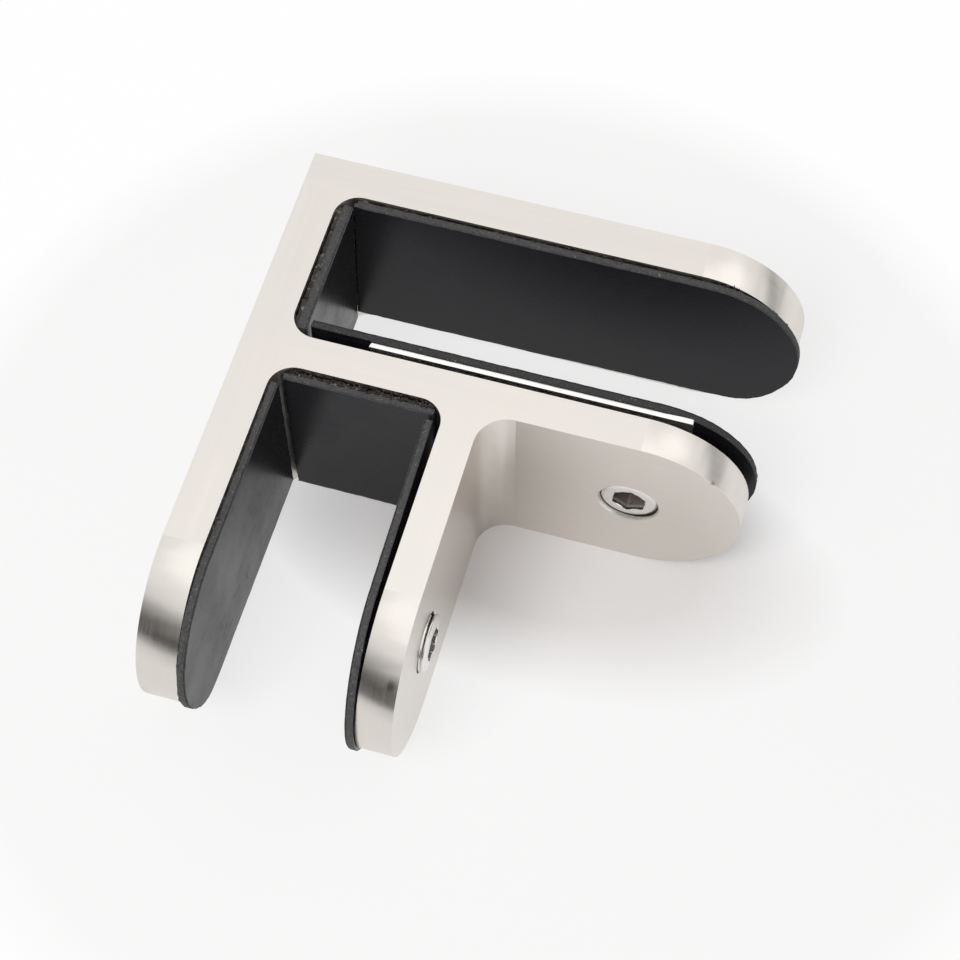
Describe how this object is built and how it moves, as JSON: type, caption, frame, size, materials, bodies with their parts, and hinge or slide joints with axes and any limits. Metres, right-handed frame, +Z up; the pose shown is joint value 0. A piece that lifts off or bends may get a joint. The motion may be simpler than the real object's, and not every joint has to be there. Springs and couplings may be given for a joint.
{
  "type": "corner glass clamp",
  "caption": "Steel corner clamp with rubber-lined slots at right angles, each closed on a glass panel's edge by a set screw and a pressure plate.",
  "frame": {"origin": "centre of the whole clamp's box, on the plane of its bottom face", "axes": "+Z up along the clamp's height; +X towards the mouth of the first slot; -Y towards the mouth of the second slot"},
  "size_m": [0.0518, 0.056, 0.021],
  "materials": {
    "body_steel": "satin brushed stainless steel",
    "pad_rubber": "matt die-cut sheet rubber",
    "plate_steel": "plain sheet steel",
    "screw_steel": "bright turned steel"
  },
  "bodies": {
    "clamp": {"clamp_body": "body_steel", "outer_pad_1": "pad_rubber", "end_pad_1": "pad_rubber", "outer_pad_2": "pad_rubber", "end_pad_2": "pad_rubber"},
    "jaw_1": {"pressure_plate_1": "plate_steel", "inner_pad_1": "pad_rubber"},
    "screw_1": {"set_screw_1": "screw_steel"},
    "jaw_2": {"pressure_plate_2": "plate_steel", "inner_pad_2": "pad_rubber"},
    "screw_2": {"set_screw_2": "screw_steel"}
  },
  "joints": [
    {"name": "jaw_1_slide", "type": "slide", "parent": "clamp", "child": "jaw_1", "axis": [0, 1, 0], "range_m": [-0.00085, 0.0018]},
    {"name": "screw_1_turn", "type": "hinge", "parent": "jaw_1", "child": "screw_1", "pos_m": [0.0132, 0.00695, 0.0105], "axis": [0, 1, 0], "range_deg": [-306, 648]},
    {"name": "jaw_2_slide", "type": "slide", "parent": "clamp", "child": "jaw_2", "axis": [-1, 0, 0], "range_m": [0, 0.00265]},
    {"name": "screw_2_turn", "type": "hinge", "parent": "jaw_2", "child": "screw_2", "pos_m": [-0.0049, -0.01615, 0.0105], "axis": [-1, 0, 0], "range_deg": [0, 954]}
  ],
  "couplings": [
    {"joint": "screw_1_turn", "follows": "jaw_1_slide", "rad_per_m": 6283.2},
    {"joint": "screw_2_turn", "follows": "jaw_2_slide", "rad_per_m": 6283.2}
  ]
}
